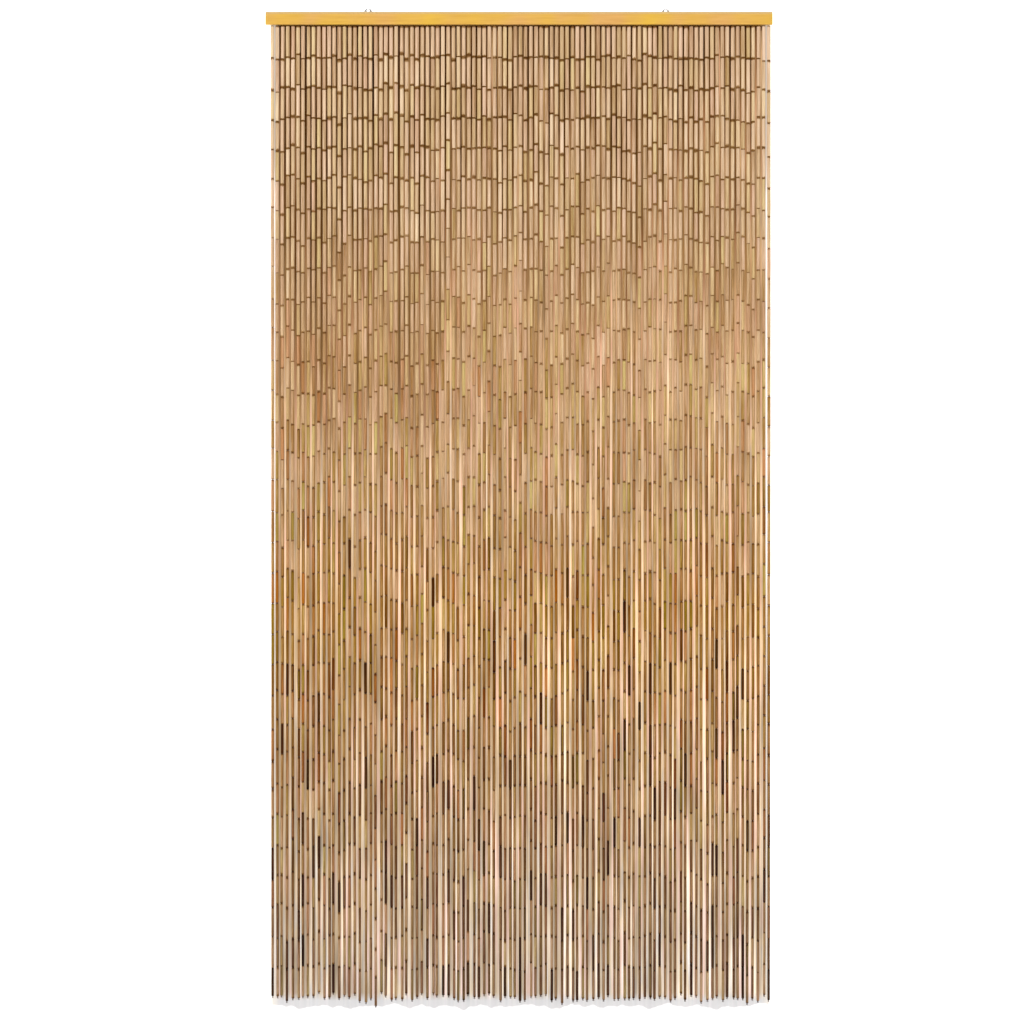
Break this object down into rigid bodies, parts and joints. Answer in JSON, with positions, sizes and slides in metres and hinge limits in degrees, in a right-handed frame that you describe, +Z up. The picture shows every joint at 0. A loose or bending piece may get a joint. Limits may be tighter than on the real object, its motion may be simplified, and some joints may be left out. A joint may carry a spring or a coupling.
{
  "type": "bamboo door curtain on a wooden rail",
  "caption": "Door curtain of short bamboo tubes linked end to end into hanging strands below a varnished wooden rail, with hanging plates at the rail's back.",
  "frame": {"origin": "middle of the rail's back face, which lies on the wall or door frame", "axes": "+X along the rail to the viewer's right, +Y out of the rail's back into the wall, +Z up; the front faces -Y"},
  "size_m": [1, 0.012, 1.974],
  "materials": {
    "varnished_wood": "satin golden yellow varnish on a planed batten",
    "zinc_steel": "zinc plated, slightly dulled",
    "bamboo": "natural bamboo skin, satin, from pale tan to brown"
  },
  "bodies": {
    "root": {"rail": "varnished_wood", "plate_left": "zinc_steel", "plate_right": "zinc_steel", "screw_left": "zinc_steel", "screw_right": "zinc_steel", "strands": "bamboo"}
  },
  "joints": []
}
